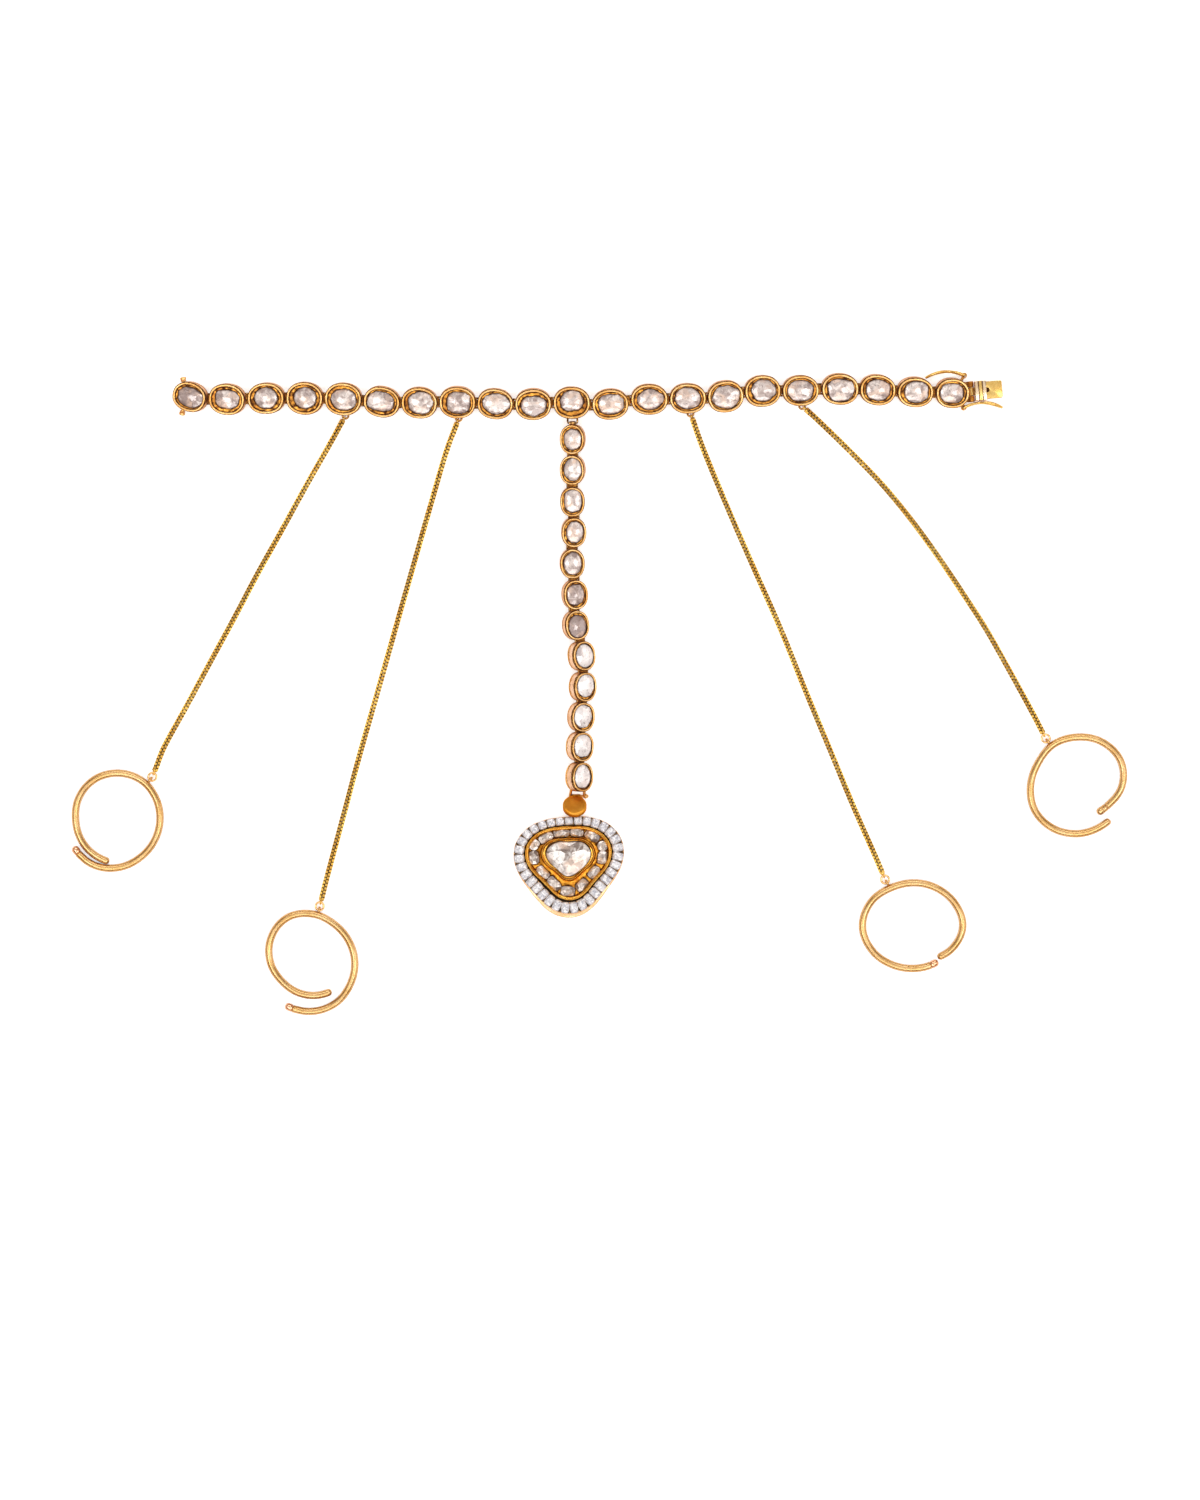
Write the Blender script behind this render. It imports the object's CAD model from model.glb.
import random
from math import atan2, copysign, cos, degrees, exp, hypot, pi, radians, sin

import bmesh
import bpy
from mathutils import Matrix, Vector, noise


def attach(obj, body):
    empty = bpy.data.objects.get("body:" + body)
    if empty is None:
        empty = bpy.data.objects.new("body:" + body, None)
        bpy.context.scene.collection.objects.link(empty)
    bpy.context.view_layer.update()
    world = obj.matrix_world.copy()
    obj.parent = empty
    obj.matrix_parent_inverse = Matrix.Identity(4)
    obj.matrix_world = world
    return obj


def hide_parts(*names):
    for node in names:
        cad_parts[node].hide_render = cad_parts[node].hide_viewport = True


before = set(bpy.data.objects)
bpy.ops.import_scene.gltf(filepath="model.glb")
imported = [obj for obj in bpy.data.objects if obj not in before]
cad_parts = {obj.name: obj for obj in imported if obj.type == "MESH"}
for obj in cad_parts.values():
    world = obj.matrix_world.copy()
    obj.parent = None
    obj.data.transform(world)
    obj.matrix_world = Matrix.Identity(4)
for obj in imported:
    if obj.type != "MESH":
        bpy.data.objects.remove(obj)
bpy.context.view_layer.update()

MM = 0.001

# View. The harness lies open on a table and is looked at from straight above, from 0.9 m.
# The table shows 0.2057 mm for each of the picture's 1200 x 1500 points.
camera_height = 900 * MM
frame_tall = 1500 * 0.2057 * MM
camera = bpy.data.objects.new("camera", bpy.data.cameras.new("camera"))
bpy.context.scene.collection.objects.link(camera)
camera.location = (0, -11.79 * MM, camera_height)
camera.data.sensor_width = 36
camera.data.lens = 36 * camera_height / frame_tall
camera.data.clip_start = 0.05
camera.data.clip_end = 20
bpy.context.scene.camera = camera


# Bracelet cups. Each is a closed cup of beaten gold with a raised rim, filled behind its flat diamond. The soft
# gold round the stone is pushed down with a burnisher. A cup has a knuckle tube let into its left side and a wire
# staple on its right side, bent through the next cup's tube.
# Columns: place, width and height, then the turn of its oval and how far it leans and tips, in degrees
cups = [
    (-84.0, 60.70, 7.0, 6.0, -18, 8, -9), (-76.4, 60.20, 7.4, 6.4, -8, 8, -6), (-68.4, 60.40, 7.5, 6.4, 0, 8, -5),
    (-60.5, 60.40, 7.5, 6.7, -6, 7, -4), (-52.6, 60.25, 7.5, 6.7, -4, 8, -3), (-44.7, 59.70, 7.4, 6.3, -10, 10, -3),
    (-37.0, 59.50, 7.3, 6.4, -6, 10, -2), (-29.2, 59.60, 7.4, 6.5, -2, 11, -1), (-21.5, 59.30, 7.3, 6.3, -7, 9, 0),
    (-13.7, 59.20, 7.4, 6.4, 0, 11, 0), (-5.8, 59.50, 7.5, 6.6, -2, 8, 0), (2.1, 59.20, 7.4, 6.3, 2, 10, 0),
    (10.1, 60.20, 7.5, 6.3, -5, 9, 0), (18.0, 60.40, 7.4, 6.2, -3, 9, 1), (25.7, 60.80, 7.3, 6.5, 2, 10, 2),
    (33.3, 61.90, 7.3, 6.5, 0, 8, 2), (41.1, 62.00, 7.4, 6.3, 0, 8, 2), (49.2, 62.30, 7.5, 6.4, -3, 10, 2),
    (56.9, 62.15, 7.3, 6.3, -5, 9, 3), (64.6, 61.70, 7.3, 6.1, 0, 11, 4), (72.2, 61.50, 6.8, 6.1, 0, 11, 4),
]
WIDTH, HEIGHT = 2, 3
cup_depth = 3.2
hinge_height = 1.4
tube_inset = 0.3
tube_length = 1.3
tube_radius = 0.45
staple_radius = 0.2
cup_spokes = 64


def at(x, y, z=0.0):
    return Matrix.Translation((x, y, z))


def turned(angle, axis="Z"):
    return Matrix.Rotation(radians(angle), 4, axis)


def heading(points, i):
    """Direction in degrees of a row of pieces at its piece i."""
    a, b = points[max(i - 1, 0)], points[min(i + 1, len(points) - 1)]
    return degrees(atan2(b[1] - a[1], b[0] - a[0]))


def seat_frame(x, y, width, height, lean, tip, turn):
    """Where a cup lies on the table: the origin is the middle of its back."""
    upright = cos(radians(tip))
    reach = hypot(width / 2 * sin(radians(tip)), height / 2 * sin(radians(lean)) * upright)
    middle = reach * 1.03 + cup_depth / 2 * cos(radians(lean)) * upright
    return at(x, y, middle) @ turned(turn) @ turned(tip, "Y") @ turned(lean, "X") @ at(0, 0, -cup_depth / 2)


def cup_frame(i):
    x, y, width, height, _, lean, tip = cups[i]
    return seat_frame(x, y, width, height, lean, tip, heading(cups, i))


def round_turn(count):
    """Directions spread evenly over a full turn."""
    return [2 * pi * k / count for k in range(count)]


def squared(angle, power):
    """A point of a unit circle, made squarer by a power below 1."""
    c, s = cos(angle), sin(angle)
    return copysign(abs(c) ** power, c), copysign(abs(s) ** power, s)


def rough(*place):
    return noise.noise(Vector(place))


def blank(facets=False):
    """An empty bmesh. Its vertices carry a tone, which darkens them, and its faces may carry a facet's shade."""
    bm = bmesh.new()
    bm.verts.layers.float.new("tone")
    bm.verts.layers.int.new("spoke")
    if facets:
        bm.faces.layers.float.new("facet")
    return bm


def edges_of(verts):
    return list(dict.fromkeys(e for v in verts for e in v.link_edges))


def only(kind, geometry):
    return [g for g in geometry if isinstance(g, kind)]


def loft(bm, rings, tones, material=0, closed=(True, True)):
    """Skins rings of points by extruding one circle of vertices from ring to ring."""
    tone, spoke = bm.verts.layers.float["tone"], bm.verts.layers.int["spoke"]
    count = len(rings[0])
    verts = bmesh.ops.create_circle(bm, segments=count, radius=1)["verts"]
    for v in verts:
        v[spoke] = round((atan2(v.co.y, v.co.x) / (2 * pi) - 0.25) * count) % count
    first = edges = edges_of(verts)
    faces = []
    for k, ring in enumerate(rings):
        if k:
            made = bmesh.ops.extrude_edge_only(bm, edges=edges)["geom"]
            verts = only(bmesh.types.BMVert, made)
            faces += only(bmesh.types.BMFace, made)
            new = set(verts)
            edges = [e for e in only(bmesh.types.BMEdge, made) if set(e.verts) <= new]
        for v in verts:
            v.co = ring[v[spoke]]
            v[tone] = tones[k][v[spoke]] if hasattr(tones[k], "__len__") else tones[k]
    for wanted, loop in zip(closed, (first, edges)):
        if wanted:
            faces += bmesh.ops.edgeloop_fill(bm, edges=loop)["faces"]
    for f in faces:
        f.material_index = material


def wire(bm, points, radius, sides=10, tone=0.0, round_ends=True, material=0, under=0.3):
    """A wire of round section swept along points, with rounded ends, dirtier by under towards the table."""
    points = [Vector(p) for p in points]
    last = len(points) - 1
    radii = radius if hasattr(radius, "__len__") else [radius] * (last + 1)
    side = (points[1] - points[0]).orthogonal()
    stations = []
    for i, (p, r) in enumerate(zip(points, radii)):
        ahead = (points[min(i + 1, last)] - points[max(i - 1, 0)]).normalized()
        side = (side - side.dot(ahead) * ahead).normalized()
        stations.append((p, ahead, side, r))
    if round_ends:
        for end, sign in ((0, -1), (-1, 1)):
            p, ahead, side, r = stations[end]
            cap = [(p + sign * r * sin(a) * ahead, ahead, side, r * cos(a)) for a in (0.45, 0.9, 1.35)]
            stations = cap[::-1] + stations if end == 0 else stations + cap
    rings = []
    tones = []
    for p, ahead, side, r in stations:
        outward = [cos(a) * side + sin(a) * ahead.cross(side) for a in round_turn(sides)]
        rings.append([p + r * o for o in outward])
        tones.append([tone + under * max(0.0, min(1.0, 1 - 2 * o.z)) for o in outward])
    loft(bm, rings, tones, material)


def merge_into(bm, other, place):
    """Adds another bmesh at its place."""
    bmesh.ops.transform(other, matrix=place, verts=other.verts)
    carrier = bpy.data.meshes.new("carrier")
    other.to_mesh(carrier)
    bm.from_mesh(carrier)
    bpy.data.meshes.remove(carrier)
    other.free()


def finished(bm, name, materials, nodes, body="harness", crease=38):
    """Makes a piece's object, in metres: outward faces, creases, the body it rides and what it stands for."""
    bmesh.ops.transform(bm, matrix=Matrix.Scale(MM, 4), verts=bm.verts)
    bmesh.ops.recalc_face_normals(bm, faces=bm.faces)
    mesh = bpy.data.meshes.new(name)
    bm.to_mesh(mesh)
    bm.free()
    for m in materials:
        mesh.materials.append(m)
    mesh.polygons.foreach_set("use_smooth", [True] * len(mesh.polygons))
    mesh.set_sharp_from_angle(angle=radians(crease))
    piece = bpy.data.objects.new(name, mesh)
    bpy.context.scene.collection.objects.link(piece)
    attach(piece, body)
    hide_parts(*nodes)


class Finish:
    """A material. Its values are numbers, colours or the sockets of nodes."""

    def __init__(self, name):
        self.material = bpy.data.materials.new(name)
        self.material.use_nodes = True
        self.tree = self.material.node_tree
        self.shader = self.tree.nodes["Principled BSDF"]
        self.place = self.tree.nodes.new("ShaderNodeTexCoord").outputs["Object"]

    def feed(self, node, inputs):
        for key, value in inputs.items():
            socket = node.inputs[key]
            if isinstance(value, bpy.types.NodeSocket):
                self.tree.links.new(value, socket)
            else:
                socket.default_value = (*value, 1) if socket.type == "RGBA" else value
        return node

    def node(self, kind, inputs, **settings):
        n = self.tree.nodes.new("ShaderNode" + kind)
        for key, value in settings.items():
            setattr(n, key, value)
        return self.feed(n, inputs)

    def noise(self, scale, detail=3.0, roughness=0.5, warp=0.0, stretch=(1, 1, 1)):
        place = self.place
        if stretch != (1, 1, 1):
            place = self.node("Mapping", {"Vector": place, "Scale": stretch}).outputs[0]
        inputs = {"Vector": place, "Scale": scale, "Detail": detail, "Roughness": roughness, "Distortion": warp}
        return self.node("TexNoise", inputs).outputs["Fac"]

    def layer(self, name):
        return self.node("Attribute", {}, attribute_name=name).outputs["Fac"]

    def ramp(self, source, *limits):
        """Spreads a value from between two limits to between 0 and 1, or two other limits."""
        names = ("Value", "From Min", "From Max", "To Min", "To Max")
        return self.node("MapRange", dict(zip(names, (source, *limits)))).outputs["Result"]

    def blend(self, factor, a, b):
        return self.node("Mix", {0: factor, 6: a, 7: b}, data_type="RGBA").outputs[2]

    def join(self, a, b, operation="ADD"):
        return self.node("Math", {0: a, 1: b}, operation=operation).outputs[0]

    def bump(self, height, strength, depth, **below):
        return self.node("Bump", {"Height": height, "Strength": strength, "Distance": depth, **below}).outputs[0]


def gold(name, bright, deep, grime, rough=(0.16, 0.34), brush=0.25, stretch=(1, 1, 1), pits=0.0, spots=0.2,
         steep=(0.40, 0.18, 0.08)):
    """Worn yellow gold: colour that drifts, dark dirt where tone is high, and fine brush marks."""
    f = Finish(name)
    colour = f.blend(f.ramp(f.noise(420, 4, 0.6), 0.35, 0.68), bright, deep)
    speckle = f.noise(2600, 3, 0.65)
    dirt = f.ramp(f.join(f.layer("tone"), f.ramp(speckle, 0.3, 0.7, -spots, spots)), 0.3, 0.85)
    colour = f.blend(dirt, colour, grime)
    matt = f.join(f.ramp(speckle, 0.3, 0.7, *rough), f.ramp(dirt, 0, 1, 0, 0.3))
    normal = f.bump(f.noise(3200, 2, stretch=stretch), brush, 0.00003)
    if pits:
        normal = f.bump(f.noise(1300, 2), pits, 0.00006, Normal=normal)
    f.feed(f.shader, {"Metallic": 1, "Specular Tint": steep, "Base Color": colour,
                      "Roughness": matt, "Normal": normal})
    return f.material


cup_gold = gold("cup_gold", (0.87, 0.55, 0.24), (0.72, 0.35, 0.085), (0.09, 0.035, 0.012), rough=(0.22, 0.38),
                pits=0.35, spots=0.34)
side_gold = gold("cup_side", (0.84, 0.60, 0.44), (0.62, 0.37, 0.21), (0.09, 0.035, 0.02), rough=(0.3, 0.45),
                 spots=0.42, steep=(0.72, 0.48, 0.32))
foil_gold = gold("burnished_foil", (0.90, 0.42, 0.07), (0.42, 0.145, 0.025), (0.10, 0.032, 0.012),
                 rough=(0.25, 0.45), brush=0.4, pits=0.9)

# A cup from its back outwards, over the rim and down inside: inset, height above or below the rim's, tone
cup_back = [
    (1.7, 0.0, 0.6), (0.42, 0.0, 0.7), (0.17, 0.06, 1.1), (0.08, 0.16, 0.8), (0.02, 0.34, 0.0), (0.02, 0.78, 0.6),
]
cup_side = [(0.02, 0.78, 0.6), (0.0, 0.9, 0.45), (0.0, 1.3, 0.15), (0.0, 2.4, 0.2), (0.03, 2.5, 0.8)]
cup_rim = [
    (0.03, 2.5, 0.8), (0.1, 2.55, 1.0), (0.1, 2.62, 1.0), (0.05, 2.72, 0.6), (0.03, 2.84, 0.6), (0.05, 3.0, 0.9),
    (0.13, 3.13, 0.75), (0.2, 3.18, 0.2), (0.27, 3.2, 0.0), (0.36, 3.2, 0.0), (0.46, 3.18, 0.05), (0.53, 3.13, 0.45),
    (0.59, 3.05, 0.95), (0.63, 2.9, 1.1),
]
# The burnished bed, from the rim to under the stone: share of the way, height below the rim, tone
cup_bed = [(0.1, -0.36, 0.9), (0.25, -0.36, 0.55), (0.5, -0.36, 0.4), (0.75, -0.37, 0.55), (0.92, -0.4, 0.85),
           (1.0, -0.5, 1.2), (1.06, -0.85, 1.2)]

# The diamonds' outlines. Columns: offset from the cup's middle as seen from above, width and height, squareness,
# direction and size of a point, direction and depth of a flat side
diamonds = [
    (0.15, -0.25, 5.6, 4.3, 1.0, 205, 0.04, 70, 0.05), (-0.09, -0.17, 5.1, 3.9, 0.78, 0, 0.0, 0, 0.0),
    (-0.04, -0.15, 4.9, 4.5, 1.0, 150, 0.03, 320, 0.03), (0.07, -0.10, 4.8, 4.4, 0.98, 0, 0.0, 200, 0.02),
    (0.05, -0.32, 5.4, 4.5, 0.96, 45, 0.03, 250, 0.03), (-0.27, -0.17, 5.6, 4.3, 0.95, 205, 0.09, 270, 0.08),
    (0.20, -0.22, 5.2, 4.8, 1.0, 300, 0.03, 90, 0.02), (0.36, -0.31, 5.0, 4.6, 0.80, 0, 0.0, 0, 0.0),
    (0.16, -0.12, 5.5, 4.5, 1.0, 0, 0.10, 100, 0.05), (0.13, -0.40, 5.4, 4.3, 0.95, 270, 0.08, 90, 0.10),
    (-0.01, 0.12, 4.8, 4.5, 0.95, 60, 0.05, 270, 0.08), (0.14, -0.16, 5.5, 4.2, 0.82, 0, 0.0, 90, 0.04),
    (0.10, -0.17, 5.3, 4.4, 1.0, 5, 0.10, 120, 0.04), (0.02, -0.10, 5.4, 4.6, 0.98, 200, 0.03, 60, 0.02),
    (0.11, -0.39, 5.8, 4.9, 1.0, 25, 0.09, 250, 0.05), (0.16, -0.03, 5.1, 4.5, 0.92, 350, 0.07, 180, 0.04),
    (-0.01, -0.22, 5.4, 4.3, 0.80, 20, 0.03, 0, 0.0), (0.15, -0.27, 5.6, 4.9, 0.88, 250, 0.07, 90, 0.08),
    (0.04, -0.22, 5.2, 4.5, 0.92, 30, 0.05, 140, 0.05), (0.31, -0.21, 5.0, 4.4, 0.80, 0, 0.0, 0, 0.0),
    (-0.05, -0.25, 4.9, 4.2, 0.82, 190, 0.03, 0, 0.0),
]


def diamond_outline(row, turn, seed, angle):
    """A point of an uncut diamond's outline: an oval with a point, a flat side and a chipped edge."""
    _, _, width, height, square, point, point_size, flat, flat_depth = row
    c, s = cos(angle), sin(angle)
    x, y = squared(angle, square)

    def near(direction, spread):
        return exp(-(((degrees(angle) + turn - direction + 180) % 360 - 180) / spread) ** 2)
    chipped = 0.06 * rough(2.4 * c + seed, 2.4 * s, 0.7) + 0.025 * rough(8 * c, 8 * s, seed)
    size = 1 + 1.3 * point_size * near(point, 22) - 1.4 * flat_depth * near(flat, 40) + chipped
    return turned(turn) @ Vector((size * width / 2 * x, size * height / 2 * y, 0))


def stone_offset(place, row):
    """The stone's offset inside its cup, from the offset that shows from above."""
    spin = place.to_3x3()
    seen = Vector((row[0], row[1], 0)) - spin @ Vector((0, 0, cup_depth / 2))
    seen.z = 0
    inside = spin.inverted() @ seen
    inside.z = 0
    return inside * min(1, 0.3 / inside.length)


def beaten(width, height, turn, inset, z, seed, angle):
    """A point of a cup's wall, with the slight unevenness of handwork."""
    c, s = cos(angle), sin(angle)
    x, y = squared(angle, 0.92)
    p = turned(turn) @ Vector(((width / 2 - inset) * x, (height / 2 - inset) * y, 0))
    p += 0.035 * rough(2.2 * c + seed, 2.2 * s, 0.3 * z) * Vector((c, s, 0))
    p.z = z + (0.03 * rough(4 * c, 4 * s, seed) if z > 2 else 0)
    return p


def cup_shell(width, height, turn, row, offset, seed, rim=1.0):
    """A cup with its bed of burnished gold round the stone's edge."""
    bm = blank()
    angles = round_turn(cup_spokes)
    for steps, material in ((cup_back, 0), (cup_side, 2), (cup_rim, 0)):
        rings = [[beaten(width, height, turn, inset * rim, z, seed, a) for a in angles] for inset, z, _ in steps]
        loft(bm, rings, [tone for _, _, tone in steps], material, (steps is cup_back, False))
    edge = rings[-1]
    stone = [diamond_outline(row, turn, seed, a) + offset for a in angles]
    bed = [edge]
    tones = [0.8]
    for share, z, tone in cup_bed:
        uneven = [rough(3.5 * cos(a), 3.5 * sin(a), seed + 1.5 * share) for a in angles]
        ring = [a.lerp(b, share) for a, b in zip(edge, stone)]
        for p, u in zip(ring, uneven):
            p.z = cup_depth + z + 0.06 * u
        bed.append(ring)
        tones.append([tone + 0.8 * u for u in uneven])
    loft(bm, bed, tones, 1, (False, True))
    bmesh.ops.remove_doubles(bm, verts=bm.verts, dist=1e-5)
    return bm


def knuckle(bm, place, length, radius=tube_radius, material=0):
    """The tube of a hinge along its own X, let into the cup's wall."""
    bore = 0.66 * radius
    half = length / 2
    profile = [(-half, bore), (-half, radius - 0.05), (0.05 - half, radius), (half - 0.05, radius),
               (half, radius - 0.05), (half, bore), (-half, bore)]
    rings = [[place @ Vector((x, r * cos(a), r * sin(a))) for a in round_turn(16)] for x, r in profile]
    loft(bm, rings, [0.95, 0.7, 0.5, 0.5, 0.7, 0.95, 0.95], material, (False, False))
    bmesh.ops.remove_doubles(bm, verts=bm.verts, dist=1e-4)


def staple_half(length):
    """Half the width of a staple round a tube."""
    return length / 2 + 0.15 + staple_radius


def staple(bm, place, length, legs, rise=0.0):
    """A staple through a knuckle tube, with two legs towards +Y that run into the cup before it."""
    half = staple_half(length)
    bend = [(half, legs, rise), (half, 0.32, 0), (half - 0.08, 0.08, 0), (half - 0.3, 0, 0)]
    points = [(-x, y, z) for x, y, z in bend] + bend[::-1]
    wire(bm, [place @ Vector(p) for p in points], staple_radius, 10, 0.65)


def bar(bm, place, low, high, tone=0.1, soft=0.08, material=0, segments=2):
    """A rectangular bar between two corners, with its edges broken."""
    layer = bm.verts.layers.float["tone"]
    low, high = Vector(low), Vector(high)
    size = Matrix.Diagonal((*(high - low), 1))
    made = bmesh.ops.create_cube(bm, size=1, matrix=place @ Matrix.Translation((low + high) / 2) @ size)["verts"]
    made = bmesh.ops.bevel(bm, geom=edges_of(made), offset=soft, affect="EDGES", segments=segments, profile=0.5,
                           material=-1)
    for f in {f for g in made["faces"] for v in g.verts for f in v.link_faces}:
        f.material_index = material
        for v in f.verts:
            v[layer] = tone


def lug(bm, place, reach):
    """The lug between a staple's legs, soldered to the cup before the tube."""
    bar(bm, place, (-0.84, tube_radius - 0.02, -0.42), (0.84, reach, 0.42), 0.6, 0.06, 1)


def cup_hinge(i):
    """The hinge on the left side of cup i."""
    return cup_frame(i) @ at(tube_inset - cups[i][WIDTH] / 2, 0, hinge_height) @ turned(90)


eye_radius = 0.6
eye_shifts = {4: 0.4, 7: 0.2, 13: 0.5, 16: 0.4}  # sideways from the middle of the cups that hold a chain


def eye_centre(i):
    return cup_frame(i) @ Vector((eye_shifts[i], -cups[i][HEIGHT] / 2 - 0.12, 1.0))


def hoop(bm, centre, radius, thickness, tone=0.1, steps=32, sides=12, upright=None):
    """A soldered wire ring, spun from its own section. It lies flat, or stands along the direction upright."""
    layer = bm.verts.layers.float["tone"]
    made = bmesh.ops.create_circle(bm, segments=sides, radius=thickness / 2)["verts"]
    for v in made:
        v[layer] = tone
    out = Vector((1, 0, 0))
    axis = Vector((0, 0, 1))
    if upright:
        out = Vector((upright[0], upright[1], 0)).normalized()
        axis = axis.cross(out)
    section = Matrix((out, out.cross(axis), axis)).transposed() @ Matrix.Rotation(pi / 2, 3, "X")
    place = Matrix.Translation(Vector(centre) + radius * out) @ section.to_4x4()
    bmesh.ops.transform(bm, matrix=place, verts=made)
    bmesh.ops.spin(bm, geom=made + edges_of(made), cent=centre, axis=axis, dvec=(0, 0, 0), angle=2 * pi,
                   steps=steps, use_merge=True)


link_meshes = []
for i, (_, _, width, height, turn, _, _) in enumerate(cups):
    place = cup_frame(i)
    bm = blank()
    offset = stone_offset(place, diamonds[i])
    merge_into(bm, cup_shell(width + 0.1, height, turn, diamonds[i], offset, 3.7 * i), place)
    if i > 0:
        knuckle(bm, cup_hinge(i), tube_length)
    if i < len(cups) - 1:
        staple(bm, cup_hinge(i + 1), tube_length, 1.5)
        lug(bm, cup_hinge(i + 1), 1.5)
    if i in eye_shifts:
        hoop(bm, eye_centre(i), eye_radius, 0.46, 0.55, 24, 10)
    link_meshes.append(bm)

# The plain end's cup has two ball posts, which the safety catches snap over
post = [(0.55, 0.35), (0.45, 0.6), (0.3, 0.6), (0.2, 0.42), (0.1, 0.6), (-0.25, 0.63), (-0.35, 0.52), (-0.45, 0.25)]
for side in (-1, 1):
    edge = cups[0][HEIGHT] / 2
    root, end = (cup_frame(0) @ Vector((x, side * (edge + y), 1.5)) for x, y in ((-1.4, -0.9), (-1.7, 0.5)))
    ahead = (end - root).normalized()
    stations = [root] + [end - s * ahead for s, _ in post]
    wire(link_meshes[0], stations, [0.35] + [r for _, r in post], 16, 0.15, False)


# Clasp barrel on the last cup: two outer tubes with the pin fixed in them, their bracket, and the two upright
# tubes that the safety catches turn in. All of it is soldered to the cup.
clasp_frame = at(76.2, 61.8, 1.3) @ turned(5)
barrel_radius = 0.65
pivots = [(74.8, 65.1, 73.5, 63.0), (74.7, 58.5, 73.5, 60.4)]  # each tube's place and its root's

last = link_meshes[-1]
for side in (-1, 1):
    middle = side * (0.85 + 0.575 + 0.1)
    knuckle(last, clasp_frame @ at(0, middle) @ turned(90), 1.15, barrel_radius, 1)
    bar(last, clasp_frame, (-1.35, middle - 0.55, -0.45), (-0.3, middle + 0.55, 0.45), 0.7, material=1)
wire(last, [clasp_frame @ Vector((0, y, 0)) for y in (-1.9, 1.9)], 0.25, 12, 0.3, False)
bar(last, clasp_frame, (-1.75, -2.0, -0.9), (-0.75, 2.0, 0.55), 0.6, 0.12, 1)
for x, y, root_x, root_y in pivots:
    middle, root = Vector((x, y, 1.5)), Vector((root_x, root_y, 1.5))
    for z, thick, tone in ((0, 0.26, 0.3), (-0.25, 0.24, 0.2), (0.25, 0.24, 0.2)):
        hoop(last, middle + Vector((0, 0, z)), 0.46, thick, tone, 24, 10)
    wire(last, [middle + 0.45 * (root - middle).normalized(), root], 0.3, 10, 0.4)

for i, bm in enumerate(link_meshes):
    finished(bm, f"cup_{i + 1:02d}", [cup_gold, foil_gold, side_gold], [f"bracelet_link_{i + 1:02d}"])


# Bracelet diamonds. Each is an uncut diamond, split flat and polished on its natural skin, so its outline and its
# few low facets are irregular. A foil behind it makes it shine.
# The stone from under its edge to its top: share of the outline, height above the rim, tone
uncut_steps = [(0.8, -1.0, 1.0), (1.0, -0.78, 1.2), (1.0, -0.47, 1.0), (0.985, -0.39, 0.75), (0.95, -0.31, 0.35),
               (0.87, -0.23, 0.12), (0.72, -0.13, 0.0), (0.5, -0.02, 0.0), (0.28, 0.045, 0.0), (0.1, 0.07, 0.0)]


def uncut(row, turn, seed, offset, clear=0.5, cuts=7):
    """One diamond in its cup's frame: a low dome, cut round its edge by facets. A clear one is whiter."""
    bm = blank(facets=True)
    draw = random.Random(int(seed * 10) + 7)
    rings = []
    for scale, z, _ in uncut_steps:
        ring = [diamond_outline(row, turn, seed, a) * scale + offset for a in round_turn(40)]
        for p in ring:
            p.z = cup_depth + z + (0.03 * rough(1.1 * p.x + seed, 1.1 * p.y, 0.5) if z > -0.2 else 0)
        rings.append(ring)
    loft(bm, rings, [tone for _, _, tone in uncut_steps])
    shade_all(bm, clear)
    start = draw.uniform(0, 360)
    for k in range(cuts):
        a = radians(start + 360 * (k + draw.uniform(-0.3, 0.3)) / cuts)
        tilt = draw.uniform(7, 21)
        reach = draw.uniform(0.35, 0.85)
        p = diamond_outline(row, turn, seed, a) * reach + offset
        p.z = cup_depth + 0.05 - 0.28 * reach ** 2
        cut(bm, p, a, tilt, clear + draw.uniform(-0.5, 0.5))
    edge_band(bm, 0.27)
    return bm


def shade_all(bm, value):
    for f in bm.faces:
        f[bm.faces.layers.float["facet"]] = value


def edge_band(bm, width):
    """Sets the tone of a cut stone: a narrow dark band along its edge, and none on its top."""
    tone = bm.verts.layers.float["tone"]
    bm.normal_update()
    top = [f for f in bm.faces if f.normal.z > 0.5]
    bmesh.ops.inset_region(bm, faces=top, thickness=width, use_even_offset=True)
    inside = {v for f in top for v in f.verts}
    for v in bm.verts:
        v[tone] = 0.0 if v in inside else 0.95


def feather(bm, start, end, width=0.07, depth=0.9):
    """Draws a split in a stone: a dark line that thins out from its middle to its ends."""
    tone = bm.verts.layers.float["tone"]
    start, end = Vector((*start, 0)), Vector((*end, 0))
    ahead = (end - start).normalized()
    side = Vector((-ahead.y, ahead.x, 0))
    middle = (start + end) / 2
    planes = [(middle + side * w, side) for w in (-width, 0, width)] + [(p, ahead) for p in (start, middle, end)]
    for point, normal in planes:
        geometry = bm.verts[:] + bm.edges[:] + bm.faces[:]
        bmesh.ops.bisect_plane(bm, geom=geometry, dist=1e-5, plane_co=point, plane_no=normal)
    bm.normal_update()
    reach = (end - start).length / 2
    for v in bm.verts:
        p = v.co - middle
        if v.normal.z > 0.5 and abs(p.dot(side)) < 1e-3:
            v[tone] = max(v[tone], depth * (1 - min(1.0, abs(p.dot(ahead)) / reach)))


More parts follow.
